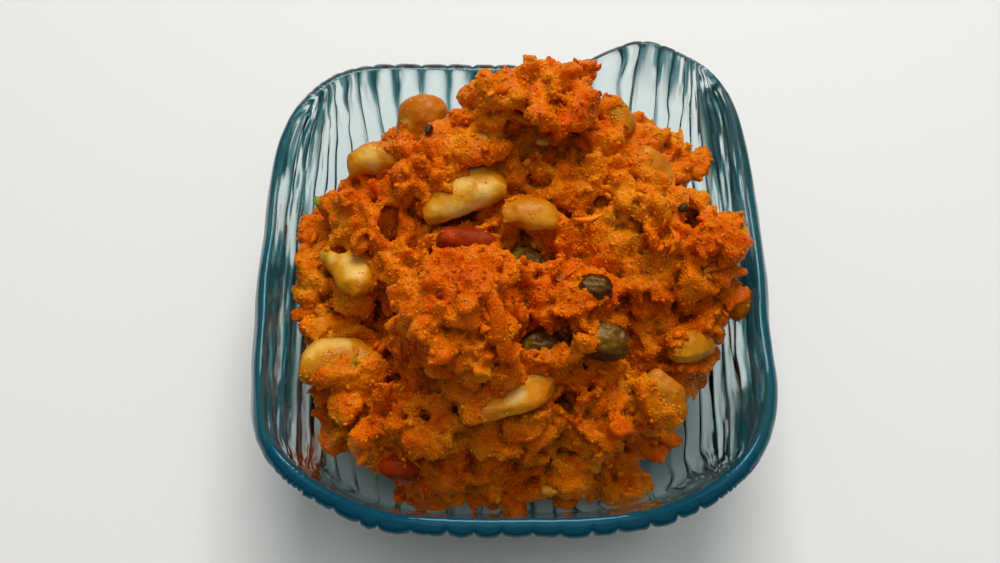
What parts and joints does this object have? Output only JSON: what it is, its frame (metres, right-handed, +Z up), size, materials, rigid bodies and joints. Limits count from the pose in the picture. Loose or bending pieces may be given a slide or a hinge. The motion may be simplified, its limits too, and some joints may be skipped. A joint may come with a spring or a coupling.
{
  "type": "dish of gajar halwa",
  "caption": "Grated carrot sweet with nuts and raisins, heaped in a small square dish of ribbed blue glass.",
  "frame": {"origin": "middle of the flat foot of the dish, on the surface it stands on", "axes": "+Z up, -Y towards the viewer of the picture, +X to the viewer's right; the ribs of the glass run along Y"},
  "size_m": [0.1196, 0.1252, 0.0721],
  "materials": {
    "glass": "pressed blue-green glass, glossy, ribbed underneath",
    "halwa": "moist grated carrot cooked with milk solids, grainy, a little glossy",
    "almond": "blanched almond, satin with a thin film of ghee",
    "cashew": "cooked cashew, satin with a thin film of ghee",
    "raisin": "plump green raisin, wrinkled and satin",
    "carrot": "cooked carrot, moist"
  },
  "bodies": {
    "root": {"dish": "glass", "halwa": "halwa", "cashew_top": "cashew", "cashew_middle": "cashew", "cashew_rear_left": "cashew", "cashew_left": "cashew", "cashew_lower_left": "cashew", "cashew_right": "cashew", "cashew_top_right": "cashew", "cashew_far_right": "cashew", "almond_crown": "almond", "almond_front": "almond", "almond_rear": "almond", "almond_low_right": "almond", "almond_right_rear": "almond", "raisin_green": "raisin", "raisin_dark": "raisin", "raisin_shade": "raisin", "raisin_hollow": "raisin", "carrot_chunk": "carrot"}
  },
  "joints": []
}
